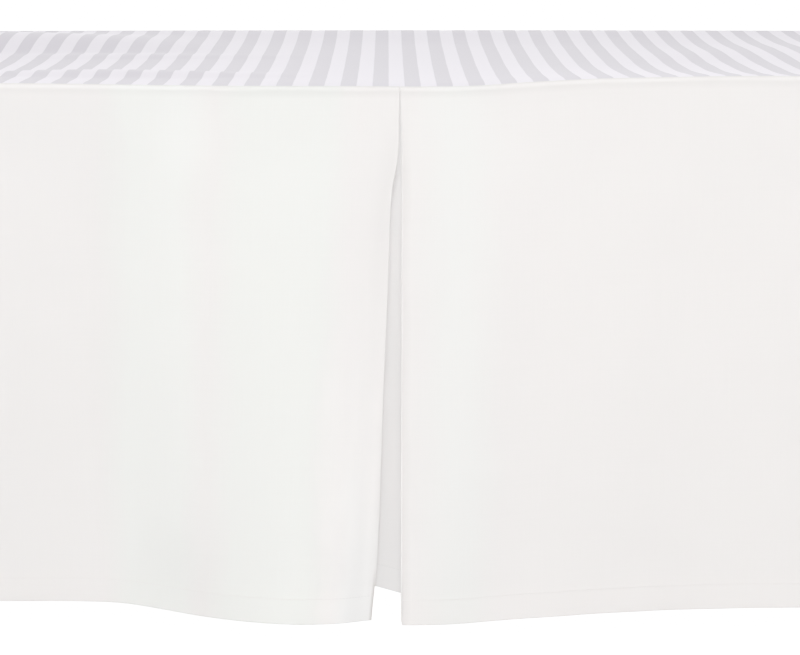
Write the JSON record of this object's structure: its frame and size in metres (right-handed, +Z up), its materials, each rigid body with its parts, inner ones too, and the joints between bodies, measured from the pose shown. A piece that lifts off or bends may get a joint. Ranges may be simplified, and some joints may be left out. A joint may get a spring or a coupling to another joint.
{
  "type": "bed skirt on a bed base",
  "caption": "Tailored bed skirt: a striped cloth deck with plain white drops to the floor and an inverted pleat in the middle of the front, on a plain wooden bed base.",
  "frame": {"origin": "on the floor, under the middle of the part's bounding box", "axes": "+X along the length of the bed, to the right seen from the front; +Z up; the pleated front faces -Y"},
  "size_m": [1.3444, 0.7888, 0.4424],
  "materials": {
    "white_cloth": "matt plain weave",
    "striped_cloth": "matt plain weave with stripes",
    "base_wood": "plain sanded pine"
  },
  "bodies": {
    "root": {"deck": "striped_cloth", "front_drop": "white_cloth", "back_drop": "white_cloth", "left_end_drop": "white_cloth", "right_end_drop": "white_cloth", "base_board": "base_wood", "base_rail_front": "base_wood", "base_rail_back": "base_wood", "base_rail_left": "base_wood", "base_rail_right": "base_wood", "base_leg_front_left": "base_wood", "base_leg_front_right": "base_wood", "base_leg_back_left": "base_wood", "base_leg_back_right": "base_wood"}
  },
  "joints": []
}
